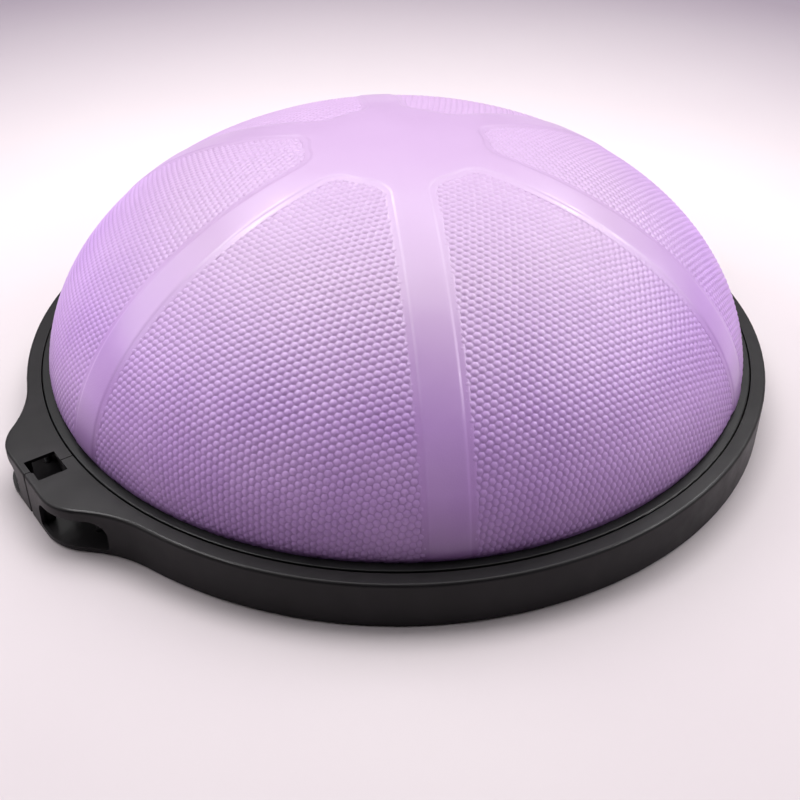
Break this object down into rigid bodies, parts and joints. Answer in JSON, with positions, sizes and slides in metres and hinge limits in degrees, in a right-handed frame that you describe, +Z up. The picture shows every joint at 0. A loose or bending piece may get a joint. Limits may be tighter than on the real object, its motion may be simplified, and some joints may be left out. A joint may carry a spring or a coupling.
{
  "type": "balance dome trainer",
  "caption": "Air-filled half dome with smooth raised ribs and bumpy panels, clamped to a round flat base with slotted carrying ears and a pull-out valve plug underneath.",
  "frame": {"origin": "middle of the footprint, at floor level", "axes": "+Z up through the crown of the dome; X runs through the ears; the half rings meet on the plane y = 0"},
  "size_m": [0.651, 0.6, 0.2091],
  "materials": {
    "dome_pvc": "satin lilac PVC with fine raised dots",
    "bladder_pvc": "satin",
    "valve_rubber": "satin",
    "base_plastic": "fine moulded grain",
    "rim_plastic": "satin moulded",
    "ring_plastic": "fine moulded grain",
    "foot_rubber": "matte",
    "screw_steel": "zinc plated"
  },
  "bodies": {
    "base": {"dome_skin": "dome_pvc", "bladder_floor": "bladder_pvc", "valve_seat": "bladder_pvc", "base_platform": "base_plastic", "clamp_ring": "rim_plastic", "outer_ring_front": "ring_plastic", "outer_ring_rear": "ring_plastic", "ear_plate_right": "base_plastic", "ear_plate_left": "base_plastic", "clamp_ring_screws": "screw_steel", "outer_ring_screws": "screw_steel", "ear_plate_screws": "screw_steel", "foot_pad_1": "foot_rubber", "foot_pad_2": "foot_rubber", "foot_pad_3": "foot_rubber", "foot_pad_4": "foot_rubber", "foot_pad_5": "foot_rubber", "foot_pad_6": "foot_rubber", "foot_pad_7": "foot_rubber", "foot_pad_8": "foot_rubber"},
    "plug": {"valve_plug": "valve_rubber"}
  },
  "joints": [
    {"name": "valve_plug_pull", "type": "slide", "parent": "base", "child": "plug", "axis": [0, 0, -1], "range_m": [0, 0.034]}
  ]
}
